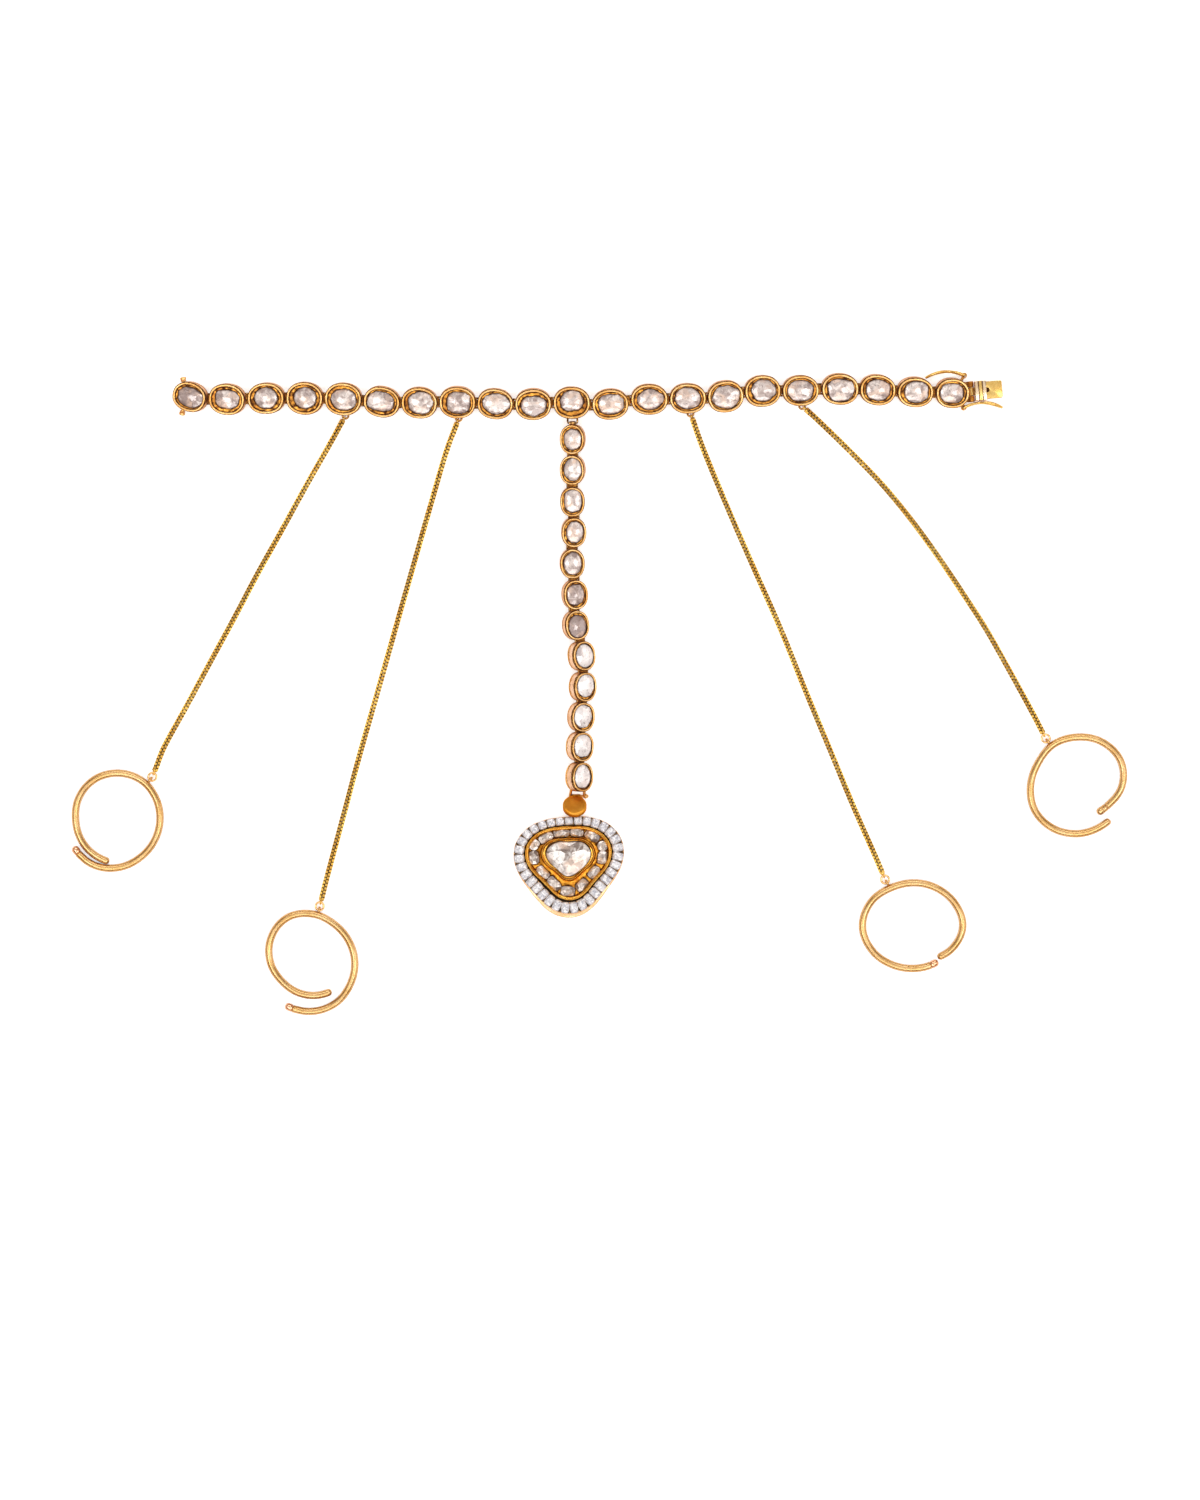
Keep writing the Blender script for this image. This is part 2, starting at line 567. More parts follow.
def cut(bm, point, turn, tilt, shade):
    """Cuts a facet through a point, tilted outwards in the direction turn. The new face takes its own shade."""
    normal = turned(degrees(turn)) @ turned(tilt, "Y") @ Vector((0, 0, 1))
    geometry = bm.verts[:] + bm.edges[:] + bm.faces[:]
    made = bmesh.ops.bisect_plane(bm, geom=geometry, dist=1e-5, plane_co=point, plane_no=normal, clear_outer=True)
    edges = [e for e in only(bmesh.types.BMEdge, made["geom_cut"]) if e.is_boundary]
    if edges:
        for f in bmesh.ops.edgeloop_fill(bm, edges=edges)["faces"]:
            f[bm.faces.layers.float["facet"]] = shade


def diamond(name, light, warm, dull, dark, grain=900, crisp=0.4, metallic=0.4):
    """Diamond over foil: cloudy colour that drifts, facets and splits of their own shade, a clear gloss on top."""
    f = Finish(name)
    facet = f.layer("facet")
    cloud = f.join(f.noise(grain * 0.8, 4, 0.65, 0.8), f.ramp(facet, 0, 1, -0.24, 0.24))
    colour = f.blend(f.ramp(cloud, 0.36, 0.60), dull, light)
    colour = f.blend(f.ramp(f.noise(grain * 0.5, 2, 0.5, 0.4), 0.5, 0.64, 0, 0.85), colour, warm)
    splits = f.node("TexVoronoi", {"Vector": f.place, "Scale": grain * 1.2})
    colour = f.blend(f.ramp(splits.outputs["Color"], 0.2, 0.8, 0, crisp), colour, dull)
    vein = f.join(f.join(f.noise(grain * 0.5, 2, 0.5, 1.6), 0.5, "SUBTRACT"), 0, "ABSOLUTE")
    veined = f.ramp(f.noise(grain * 0.6, 1), 0.52, 0.62)
    colour = f.blend(f.join(veined, f.ramp(vein, 0.002, 0.013, 0.65, 0), "MULTIPLY"), colour, dark)
    colour = f.blend(f.ramp(f.noise(grain * 3.1, 2, 0.6), 0.6, 0.7, 0, 0.5), colour, dark)
    edge = f.join(f.layer("tone"), f.ramp(f.noise(grain * 1.6, 3, 0.6), 0.32, 0.68, -0.4, 0.4))
    colour = f.blend(f.ramp(edge, 0.4, 0.8), colour, dark)
    normal = f.bump(splits.outputs["Distance"], 0.25, 0.00015)
    normal = f.bump(f.noise(grain * 3.2, 2, 0.6), 0.3, 0.00004, Normal=normal)
    f.feed(f.shader, {"Base Color": colour, "Metallic": metallic, "Roughness": 0.28, "Coat Weight": 0.8,
                      "Coat Roughness": 0.09, "Coat IOR": 1.9, "Normal": normal})
    return f.material


polki = diamond("polki_diamond", (0.93, 0.84, 0.79), (0.84, 0.61, 0.48), (0.33, 0.24, 0.22), (0.07, 0.035, 0.025),
                crisp=0.5, metallic=0.3)
splits = {  # the two ends of each split, from the middle of its cup
    0: [((-0.9, 1.3), (1.2, 0.2)), ((-0.6, -0.9), (0.5, -1.4))],
    1: [((1.35, -1.5), (1.4, 1.3)), ((1.8, -1.2), (1.85, 1.0)), ((0.9, -1.7), (1.7, -1.2))],
    7: [((-0.9, -1.6), (-0.7, 1.6)), ((0.9, -1.3), (1.0, 1.2))], 9: [((-1.5, 0.3), (0.0, 1.2))],
    14: [((-1.9, -0.6), (-0.6, 0.9)), ((-1.4, -1.1), (-0.9, 0.4))],
    16: [((-1.6, 1.2), (1.4, 1.3)), ((-1.2, 0.8), (1.5, 0.9))],
    17: [((-0.5, 1.9), (0.3, 0.3)), ((0.6, 1.7), (0.1, 0.6))],
    18: [((0.4, -1.6), (1.3, 1.4))], 20: [((-1.1, -1.5), (1.1, 1.4))],
}
clearness = {0: 0.05, 1: 0.6, 7: 0.35, 8: 0.65, 16: 0.4}
bm = blank(facets=True)
for i, row in enumerate(diamonds):
    place = cup_frame(i)
    stone = uncut(row, cups[i][4], 3.7 * i, stone_offset(place, row), clearness.get(i, 0.5))
    for start, end in splits.get(i, []):
        feather(stone, start, end)
    merge_into(bm, stone, place)
finished(bm, "bracelet_diamonds", [polki], ["bracelet_stones"], crease=14)


# Centre strand. Twelve smaller cups of the same make hang from the middle cup, hinged one under the other. The
# lower ones lie tipped on their sides, so that their right walls show less and their left walls more.
strand_width = 5.1
strand_height = 5.8
strand_fuller = 0.3
strand = [  # place, tip and lean
    (-5.60, 52.0, -7, 8), (-5.60, 45.7, -7, 8), (-5.65, 39.2, 0, 8), (-5.40, 32.9, 4, 7), (-5.70, 26.5, 4, 7),
    (-5.20, 20.1, 12, 6), (-5.00, 13.8, 16, 5), (-3.80, 7.5, 26, 4), (-3.55, 1.2, 27, 4), (-3.90, -5.0, 22, 3),
    (-4.15, -11.1, 28, 3), (-4.25, -17.3, 33, 2),
]
strand_stones = [  # the columns of the bracelet's diamonds
    (-0.05, -0.20, 3.75, 4.4, 0.95, 0, 0.0, 0, 0.0), (0.0, -0.01, 3.85, 4.75, 1.0, 90, 0.04, 0, 0.0),
    (0.13, 0.08, 3.8, 4.8, 0.80, 0, 0.0, 0, 0.0), (0.25, -0.10, 3.65, 4.6, 1.0, 0, 0.0, 0, 0.0),
    (0.14, -0.18, 3.85, 4.8, 1.0, 90, 0.02, 0, 0.0), (0.29, -0.15, 3.8, 4.5, 0.90, 0, 0.0, 310, 0.04),
    (0.52, -0.30, 3.9, 4.8, 0.95, 0, 0.0, 0, 0.0), (0.82, -0.02, 4.0, 4.9, 1.0, 320, 0.03, 0, 0.0),
    (0.82, 0.20, 3.9, 4.9, 0.98, 45, 0.03, 0, 0.0), (0.54, 0.09, 4.0, 4.9, 1.0, 0, 0.0, 0, 0.0),
    (0.85, 0.20, 4.0, 4.9, 0.92, 45, 0.04, 0, 0.0), (0.89, 0.04, 4.0, 4.9, 1.05, 90, 0.05, 0, 0.0),
]
grey_cups = {5: 0.3, 6: 0.1}
first_clear = 7  # from this cup down, the stones are colourless
bail_frame = at(-5.2, -23.0, 2.9) @ turned(-35, "X")
bail_hinge = bail_frame @ at(0.3, 2.77, -0.99)
bail_tube = 1.8


def strand_frame(j):
    x, y, tip, lean = strand[j]
    return seat_frame(x, y, strand_width, strand_height, lean, tip, heading(strand, j) + 90)


def strand_hinge(j):
    """The hinge at the top of strand cup j. The first one stands out from its cup to reach the bracelet."""
    return strand_frame(j) @ at(0, strand_height / 2 - (tube_inset if j else -0.35), hinge_height)


bm = blank()
staple(bm, strand_hinge(0), tube_length, 1.7)
finished(bm, "strand_staple", [cup_gold], ["bracelet_link_11"])

clear_diamond = diamond("clear_diamond", (1.0, 0.98, 0.97), (0.97, 0.88, 0.84), (0.55, 0.48, 0.48),
                        (0.08, 0.05, 0.05), crisp=0.45, metallic=0.2)
stones = blank(facets=True)
for j, row in enumerate(strand_stones):
    place = strand_frame(j)
    seed = 5.1 * j + 90
    offset = stone_offset(place, row)
    bm = blank()
    merge_into(bm, cup_shell(strand_width, strand_height + strand_fuller, 0, row, offset, seed, 0.8), place)
    knuckle(bm, strand_hinge(j), tube_length)
    if j < len(strand) - 1:
        staple(bm, strand_hinge(j + 1), tube_length, 1.5)
        lug(bm, strand_hinge(j + 1), 1.5)
    else:
        # The last cup's staple is longer, and ends in a ball beside the bail
        half = staple_half(bail_tube)
        legs = [place @ Vector((x, 0.8 - strand_height / 2, 1.2)) for x in (-1.5, 1.6)]
        a, b, ball = (bail_hinge @ Vector((x, 0, 0)) for x in (-half, half + 0.4, half + 0.7))
        bent = [legs[0], a.lerp(legs[0], 0.3), a, a.lerp(b, 0.1), b, b.lerp(legs[1], 0.12), legs[1]]
        wire(bm, bent, 0.29, 12, 0.3)
        ahead = (b - a).normalized()
        wire(bm, [ball + s * ahead for s in (-0.2, -0.1, 0.1, 0.2)], [0.4, 0.52, 0.52, 0.4], 16, 0.2)
    finished(bm, f"strand_cup_{j + 1:02d}", [cup_gold, foil_gold, side_gold],
             [f"strand_link_{j + 1:02d}"])
    colourless = j >= first_clear
    stone = uncut(row, 0, seed, offset, grey_cups.get(j, 0.9 if colourless else 0.6))
    for f in stone.faces:
        f.material_index = int(colourless)
    merge_into(stones, stone, place)
finished(stones, "strand_diamonds", [polki, clear_diamond], ["strand_stones"], crease=14)


# Bail. A thick disc of satin gold over a small cone leans back over the hinge between the strand and the pendant.
# It has a tube for the strand's last staple, and a staple of its own that holds the pendant.
bail_gold = gold("bail_gold", (0.78, 0.37, 0.05), (0.64, 0.24, 0.02), (0.22, 0.08, 0.015), rough=(0.28, 0.42),
                 brush=0.3, stretch=(0.3, 2.5, 1))
pendant_hinge = at(-5.3, -25.35, 0.62)
# The cone and disc from below: radius, height, tone
bail_steps = [(0.9, -1.93, 0.5), (1.4, -1.95, 0.5), (1.5, -1.9, 0.4), (2.3, -1.2, 0.6), (2.38, -1.12, 0.5),
              (2.45, -1.0, 0.1), (2.45, -0.2, 0.0), (2.4, -0.09, 0.0), (2.3, -0.03, 0.05), (2.0, 0.0, 0.1),
              (1.3, 0.0, 0.15), (0.6, 0.0, 0.1)]
bm = blank()
loft(bm, [[bail_frame @ Vector((r * cos(a), r * sin(a), z)) for a in round_turn(64)] for r, z, _ in bail_steps],
     [tone for _, _, tone in bail_steps])
knuckle(bm, bail_hinge, bail_tube)
staple(bm, pendant_hinge, tube_length, 1.4, 0.85)
finished(bm, "bail_disc", [bail_gold], ["pendant_bail"])


# Pendant setting. A gold back plate carries the trench of the halo, a raised wall round a channel of small uncut
# diamonds, and a double collar round the centre stone. The parts are soldered, and the channel is packed with
# soft gold.
# Each outline is a mean radius, with the size and direction of its one, two, three and four lobes
pendant_at = Vector((-6.4, -34.4, 0))
plate_line = (10.5, (0.75, -86), (0.52, 23), (0.88, 96), (0.22, 3))
halo_line = (9.3, (0.20, -87), (0.62, 18), (0.84, 97), (0.20, 8))
wall_line = (7.85, (0.19, 95), (0.53, 6), (0.80, 98), (0.22, 5))
packing_line = (5.4, (0.37, 93), (0.47, 1), (0.60, 90), (0.10, 174))
collar_line = (4.66, (0.82, 94), (0.41, -6), (0.59, 96), (0.09, -27))
centre_line = (3.98, (0.82, 91), (0.33, -9), (0.55, 92), (0.07, -147))
channel_floor = 2.0
pendant_spokes = 240
inner_stones = [  # direction and distance from the pendant's middle, length along the channel, width
    (23, 7.5, 2.3, 2.1), (46, 6.85, 3.25, 1.85), (74, 5.9, 2.75, 1.8), (105, 5.75, 3.35, 1.75),
    (135.5, 6.6, 3.1, 1.95), (155.8, 7.75, 2.35, 2.0), (175.6, 7.17, 2.8, 2.05), (205, 5.86, 3.1, 1.75),
    (238, 5.7, 3.3, 1.95), (268.3, 6.35, 3.0, 2.1), (297.7, 5.74, 2.9, 1.95), (334.5, 5.69, 2.8, 1.85),
    (364.6, 6.9, 2.7, 2.0),
]
# Steps of a section: outline, distance outside it, height, tone
plate_steps = [
    (plate_line, -3.0, 0.0, 0.2), (plate_line, -0.3, 0.0, 0.2), (plate_line, -0.08, 0.07, 0.1),
    (plate_line, 0.0, 0.25, 0.6), (plate_line, 0.0, 0.95, 0.6), (plate_line, -0.05, 1.12, 0.45),
    (plate_line, -0.14, 1.2, 0.05), (plate_line, -0.3, 1.21, 0.0), (halo_line, 1.07, 1.24, 0.55),
    (halo_line, 1.09, 1.4, 0.1), (halo_line, 1.09, 1.8, 0.0), (halo_line, 1.06, 1.9, 0.0),
    (halo_line, 1.02, 1.9, 0.2), (halo_line, 0.98, 1.86, 0.4), (halo_line, 0.94, 1.7, 0.6),
    (halo_line, 0.9, 1.5, 0.8), (halo_line, -0.85, 1.5, 1.2), (halo_line, -0.9, 1.7, 1.2),
    (halo_line, -0.93, 1.86, 1.1), (halo_line, -1.0, 1.86, 1.0), (halo_line, -1.08, 1.8, 1.1),
    (halo_line, -1.08, 1.24, 1.3), (wall_line, 0.1, 1.2, 1.3),
]
wall_steps = [
    (wall_line, 0.1, 1.2, 1.3), (wall_line, 0.1, 1.5, 0.9), (wall_line, 0.1, 2.1, 0.5), (wall_line, 0.06, 2.4, 0.25),
    (wall_line, -0.04, 2.58, 0.05), (wall_line, -0.16, 2.66, 0.1), (wall_line, -0.24, 2.76, 0.0),
    (wall_line, -0.34, 2.8, 0.0), (wall_line, -0.44, 2.76, 0.0), (wall_line, -0.54, 2.66, 0.15),
    (wall_line, -0.62, 2.5, 0.4), (wall_line, -0.66, 2.12, 0.9),
]
collar_steps = [
    (collar_line, 0.02, 2.5, 0.9), (collar_line, 0.0, 2.75, 0.4), (collar_line, -0.02, 3.2, 0.1),
    (collar_line, -0.09, 3.43, 0.0), (collar_line, -0.18, 3.5, 0.0), (collar_line, -0.27, 3.44, 0.1),
    (collar_line, -0.32, 3.28, 1.0), (collar_line, -0.36, 3.28, 1.0), (collar_line, -0.41, 3.4, 0.2),
    (collar_line, -0.47, 3.44, 0.0), (centre_line, 0.1, 3.42, 0.0), (centre_line, 0.04, 3.34, 0.4),
    (centre_line, 0.02, 3.1, 1.0), (centre_line, 0.0, 2.8, 1.2), (centre_line, -0.6, 2.6, 1.2),
]


def lobed(line, angle, grow=0.0):
    """A point of a lobed outline in one direction from the pendant's middle, moved outwards by grow."""
    r = line[0] + grow + sum(size * cos(radians((k + 1) * angle - lean)) for k, (size, lean) in enumerate(line[1:]))
    return Vector((r * cos(radians(angle)), r * sin(radians(angle)), 0))


def along_line(line, angle):
    """Direction of a lobed outline, in degrees."""
    step = lobed(line, angle + 2) - lobed(line, angle - 2)
    return degrees(atan2(step.y, step.x))


def inner_place(row):
    a = radians(row[0])
    return at(row[1] * cos(a), row[1] * sin(a)) @ turned(along_line(wall_line, row[0]))


def clamped(v):
    return max(0.0, min(1.0, v))


def inner_gap(p):
    """Distance of a point of the channel from the nearest inner diamond's edge, less than 0 inside it."""
    gaps = []
    for row in inner_stones:
        q = inner_place(row).inverted() @ p
        x, y = abs(q.x) - row[2] / 2 + 0.3, abs(q.y) - row[3] / 2 + 0.3
        gaps.append(hypot(max(x, 0), max(y, 0)) + min(max(x, y), 0) - 0.3)
    return min(gaps)


pendant_gold = gold("pendant_gold", (0.96, 0.56, 0.11), (0.86, 0.37, 0.045), (0.08, 0.035, 0.012),
                    pits=0.4, spots=0.3)
plate_gold = gold("plate_gold", (0.95, 0.65, 0.40), (0.88, 0.49, 0.20), (0.045, 0.03, 0.018), rough=(0.2, 0.36))
packed_gold = gold("packed_gold", (0.90, 0.44, 0.05), (0.66, 0.24, 0.025), (0.09, 0.028, 0.01), rough=(0.25, 0.45),
                   brush=0.5, pits=1.0)
turns = [360 * k / pendant_spokes for k in range(pendant_spokes)]
bm = blank()
sections = []
for steps, material, closed in ((plate_steps, 0, (True, False)), (wall_steps, 1, (False, False)),
                                (collar_steps, 1, (False, True))):
    rings = []
    for line, grow, z, _ in steps:
        uneven = [0.05 * rough(5 * cos(radians(t)), 5 * sin(radians(t)), 0.4 * z) for t in turns]
        rings.append([lobed(line, t, grow + u) + Vector((0, 0, z)) for t, u in zip(turns, uneven)])
    loft(bm, rings, [s[3] for s in steps], material, closed)
    sections.append(rings)
outer, inner = sections[1][-1], sections[2][0]
channel = []
tones = []
for share in (0.0, 0.08, 0.2, 0.35, 0.5, 0.65, 0.8, 0.92, 1.0):
    ring = [a.lerp(b, share) for a, b in zip(outer, inner)]
    dark = []
    for t, p in zip(turns, ring):
        gap = inner_gap(p.xy.to_3d())
        uneven = rough(1.8 * (p.x + pendant_at.x), 1.8 * (p.y + pendant_at.y), 1)
        if 0 < share < 1:
            packed = clamped((lobed(packing_line, t).length + 0.1 - p.xy.length) / 0.25)
            mound = 0.3 * clamped((gap + 0.05) / 0.35)
            p.z = channel_floor + 0.12 + mound * (0.8 + 0.2 * uneven) + packed * (0.3 + 0.05 * uneven)
        by_stone = 1.1 - min(1.0, abs(gap) / 0.22) if gap > -0.1 else 0.9
        dark.append(max(by_stone, 0.9 * (share in (0.0, 1.0))) + 0.25 * uneven)
    channel.append(ring)
    tones.append(dark)
loft(bm, channel, tones, 2, (False, False))
bmesh.ops.translate(bm, verts=bm.verts, vec=pendant_at)
bmesh.ops.remove_doubles(bm, verts=bm.verts, dist=1e-4)
knuckle(bm, pendant_hinge, tube_length)
bar(bm, pendant_hinge, (-0.65, -1.0, -0.3), (0.65, -0.4, 0.3), 0.3, 0.05)

# Prongs of the halo: beads raised from the trench's edges between each two brilliants, and a thin bar between them
halo_count = 33
halo_first = 77  # direction of the first brilliant, in degrees


def even_turns(line, count, start):
    """Directions that space things evenly along a lobed outline, clockwise."""
    steps = 720
    run = [0.0]
    for k in range(steps):
        run.append(run[-1] + (lobed(line, start - (k + 1) / 2) - lobed(line, start - k / 2)).length)
    found = []
    k = 0
    for i in range(count):
        while run[k + 1] < run[-1] * i / count:
            k += 1
        found.append(start - (k + (run[-1] * i / count - run[k]) / (run[k + 1] - run[k])) / 2)
    return found


def halo_place(t, grow, z):
    """A frame in one direction round the halo, along its middle line and grow outside it."""
    middle = pendant_at + lobed(halo_line, t, grow) + Vector((0, 0, z))
    return Matrix.Translation(middle) @ turned(along_line(halo_line, t))


def halo_reach(t):
    """Where the brilliants begin and end in one direction, measured outwards from the halo's middle line."""
    wall = lobed(wall_line, t).length - lobed(halo_line, t).length
    return max(wall + 0.3, -1.3), 1.04


for t in even_turns(halo_line, halo_count * 2, halo_first)[1::2]:
    low, high = halo_reach(t)
    for grow, size, z in ((high - 0.08, 0.15, 1.96), (low + 0.12, 0.14, 1.93)):
        made = bmesh.ops.create_icosphere(bm, subdivisions=2, radius=size, matrix=halo_place(t, grow, z))["verts"]
        for v in made:
            v[bm.verts.layers.float["tone"]] = 0.45
    bar(bm, halo_place(t, 0, 2.0), (-0.07, -high, -0.3), (0.07, -low - 0.1, 0.0), 0.75, 0.03, 0, 1)
finished(bm, "pendant_setting", [plate_gold, pendant_gold, packed_gold], ["pendant_frame"])


# Halo brilliants. Small white diamonds with a table and a crown of facets, set shoulder to shoulder.
brilliant_diamond = diamond("brilliant_diamond", (1.0, 1.0, 1.0), (0.90, 0.87, 0.89), (0.40, 0.40, 0.46),
                            (0.08, 0.05, 0.05), grain=2600, crisp=0.6, metallic=0.3)
halo_width = 1.68
brilliant_steps = [(0.5, 1.6, 0.9), (1.0, 1.93, 0.5), (1.0, 1.98, 0.2), (0.8, 2.17, 0.0), (0.56, 2.28, 0.0)]


def facet_order(f):
    """Sorts a brilliant's facets from below upwards and then round it, so that each run shades them alike."""
    middle = f.calc_center_median()
    return round(middle.z, 3), (atan2(middle.y, middle.x) + 0.1) % (2 * pi)


bm = blank(facets=True)
draw = random.Random(5)
for t in even_turns(halo_line, halo_count, halo_first):
    low, high = halo_reach(t)
    place = halo_place(t, (low + high) / 2, 0) @ turned(draw.uniform(-3, 3))
    one = blank(facets=True)
    rings = []
    for n, (scale, z, _) in enumerate(brilliant_steps):
        corners = [squared(a + pi / 14 * (n % 2), 0.48) for a in round_turn(14)]
        rings.append([Vector((scale * x * halo_width / 2, scale * y * (high - low) / 2, z)) for x, y in corners])
    loft(one, rings, [tone for _, _, tone in brilliant_steps])
    top = max(one.faces, key=lambda f: f.calc_center_median().z)
    bmesh.ops.poke(one, faces=[top], offset=0.02)
    bmesh.ops.triangulate(one, faces=one.faces)
    for f in sorted(one.faces, key=facet_order):
        f[one.faces.layers.float["facet"]] = draw.random()
    merge_into(bm, one, place)
finished(bm, "halo_brilliants", [brilliant_diamond], ["pendant_halo_stones"], crease=8)


# Inner diamonds. Thirteen small uncut diamonds, longer than wide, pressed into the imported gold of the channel.
inner_diamond = diamond("inner_diamond", (0.97, 0.87, 0.80), (0.66, 0.42, 0.26), (0.17, 0.12, 0.10),
                        (0.06, 0.03, 0.02), grain=1300, crisp=0.6)
inner_steps = [(0.85, 2.05, 1.1), (1.0, 2.2, 1.1), (1.0, 2.36, 0.8), (0.93, 2.46, 0.3), (0.8, 2.55, 0.0),
               (0.55, 2.6, 0.0), (0.2, 2.62, 0.0)]
bm = blank(facets=True)
draw = random.Random(11)
for n, row in enumerate(inner_stones):
    one = blank(facets=True)
    rings = []
    for scale, z, _ in inner_steps:
        ring = []
        for a in round_turn(24):
            x, y = squared(a, 0.62 if n else 1.0)
            uneven = 1 + 0.07 * rough(1.5 * cos(a), 1.5 * sin(a), 3.1 * n)
            ring.append(Vector((scale * uneven * x * row[2] / 2, scale * uneven * y * row[3] / 2, z)))
        rings.append(ring)
    loft(one, rings, [tone for _, _, tone in inner_steps])
    shade_all(one, 0.55)
    for k in range(5):
        a = 2 * pi * (k + draw.uniform(-0.3, 0.3)) / 5
        cut(one, (0.3 * row[2] * cos(a), 0.3 * row[3] * sin(a), 2.57), a, draw.uniform(16, 34), draw.random())
    edge_band(one, 0.13)
    merge_into(bm, one, Matrix.Translation(pendant_at) @ inner_place(row))
finished(bm, "inner_diamonds", [inner_diamond], ["pendant_inner_stones"], crease=12)


# Centre diamond. The largest stone, a shield with rounded corners: two broad facets lean to the left and right of
# a ridge, smaller ones fall to the edge, and an oval one lies low at the left of its point.
centre_diamond = diamond("centre_diamond", (1.0, 0.96, 0.93), (0.80, 0.60, 0.49), (0.22, 0.165, 0.14),
                         (0.10, 0.06, 0.05), grain=700)
centre_steps = [(0.9, 2.7, 1.1), (1.0, 3.0, 1.1), (1.0, 3.2, 0.9), (0.98, 3.32, 0.5), (0.93, 3.45, 0.1),
                (0.82, 3.6, 0.0), (0.62, 3.74, 0.0), (0.36, 3.84, 0.0), (0.12, 3.88, 0.0)]
facets = [  # direction, tilt, distance from the middle, height there, shade
    (8, 12, 1.1, 3.8, 1.0), (170, 12, 1.3, 3.78, 0.85), (70, 20, 1.7, 3.73, 0.3), (105, 17, 1.6, 3.74, 0.15),
    (330, 19, 2.0, 3.66, 0.9), (295, 22, 2.1, 3.62, 0.35), (262, 15, 2.0, 3.64, 0.1), (232, 24, 2.5, 3.5, 0.7),
    (205, 22, 2.8, 3.5, 0.5), (0, 26, 3.6, 3.46, 0.6), (142, 24, 3.1, 3.5, 0.55), (44, 24, 3.0, 3.52, 0.8),
    (88, 28, 2.3, 3.6, 0.6), (125, 24, 2.3, 3.62, 0.4), (245, 20, 2.9, 3.5, 0.85), (185, 24, 3.4, 3.45, 0.75),
]
centre_splits = [((-0.2, 3.1), (0.5, 1.2)), ((0.7, 3.0), (0.2, 1.6)), ((-1.4, 2.2), (0.1, 1.9)),
                 ((0.2, 2.0), (1.3, 2.4)), ((-0.6, 1.5), (0.4, 0.6)), ((-1.7, -1.2), (-0.3, -1.9)),
                 ((-1.9, -1.6), (-1.0, -2.6)), ((0.1, -0.4), (0.9, -1.8)), ((-3.0, 0.9), (-2.0, -0.4))]
middle = sum((lobed(centre_line, 6 * k) for k in range(60)), Vector()) / 60
rings = []
for scale, z, _ in centre_steps:
    ring = [middle.lerp(lobed(centre_line, 5 * k, -0.03), scale) for k in range(72)]
    rings.append([p + Vector((0, 0, z)) for p in ring])
one = blank(facets=True)
loft(one, rings, [tone for _, _, tone in centre_steps])
shade_all(one, 0.3)
for turn, tilt, reach, z, shade in facets:
    cut(one, middle + turned(turn) @ Vector((reach, 0, z)), radians(turn), tilt, shade)
edge_band(one, 0.1)
for start, end in centre_splits:
    feather(one, start, end, 0.09, 0.8)
bmesh.ops.translate(one, verts=one.verts, vec=pendant_at)
finished(one, "centre_diamond", [centre_diamond], ["pendant_centre_stone"], crease=9)


# Chains. Four fine box chains of saturated yellow gold: square links of flat wire, each turned a quarter from the
# last, lying on their corners. Each end is filled with solder and holds a small wire loop.
chain_gold = gold("chain_gold", (0.96, 0.67, 0.17), (0.86, 0.49, 0.09), (0.08, 0.025, 0.006), rough=(0.3, 0.45))
jump_gold = gold("jump_gold", (0.96, 0.66, 0.34), (0.88, 0.50, 0.18), (0.12, 0.05, 0.02), rough=(0.1, 0.22))
chain_routes = [
    [(-55.3, 51.5), (-60.4, 42.5), (-65.4, 33.4), (-70.4, 24.4), (-75.2, 15.3), (-80.1, 6.3), (-85.0, -2.8),
     (-89.4, -10.8)],
    [(-31.8, 48.9), (-35.4, 36.5), (-38.9, 24.2), (-42.4, 11.9), (-45.9, -0.5), (-49.4, -12.8), (-52.7, -25.2),
     (-56.0, -37.5)],
    [(21.3, 49.9), (26.4, 37.6), (31.8, 25.2), (37.2, 12.9), (42.2, 0.5), (47.3, -11.8), (52.4, -24.1),
     (56.4, -33.2)],
    [(44.8, 56.0), (50.7, 50.3), (57.9, 42.9), (64.0, 35.5), (69.4, 28.1), (74.4, 20.7), (79.2, 13.3),
     (83.4, 5.9), (88.4, -3.2)],
]
chain_height = 0.65
link_pitch = 0.373
link_thick = 0.145
link_wide = 0.98
link_strip = 0.66
jump_height = 0.85
jump_radius = 0.835
jumps = [Vector((x, y, jump_height)) for x, y in ((-92.0, -17.3), (-57.6, -43.9), (58.6, -38.4), (91.6, -9.4))]


def smooth(rows, t):
    """A smooth curve through the rows of a list, at position t counted in rows."""
    i = min(int(t), len(rows) - 2)
    f = t - i
    a, b, c, d = (Vector(rows[min(max(k, 0), len(rows) - 1)]) for k in (i - 1, i, i + 1, i + 2))
    return 0.5 * (2 * b + (c - a) * f + (2 * a - 5 * b + 4 * c - d) * f * f + (3 * b - a - 3 * c + d) * f ** 3)


def evenly(path, step):
    """Points that follow a path, the same distance apart, each with its direction."""
    found = []
    left = step
    for a, b in zip(path, path[1:]):
        gone = 0.0
        length = (b - a).length
        while length - gone >= left:
            gone += left
            left = step
            found.append((a.lerp(b, gone / length), b - a))
        left -= length - gone
    return found


def flattened(v):
    return Vector((v.x, v.y, 0)).normalized()


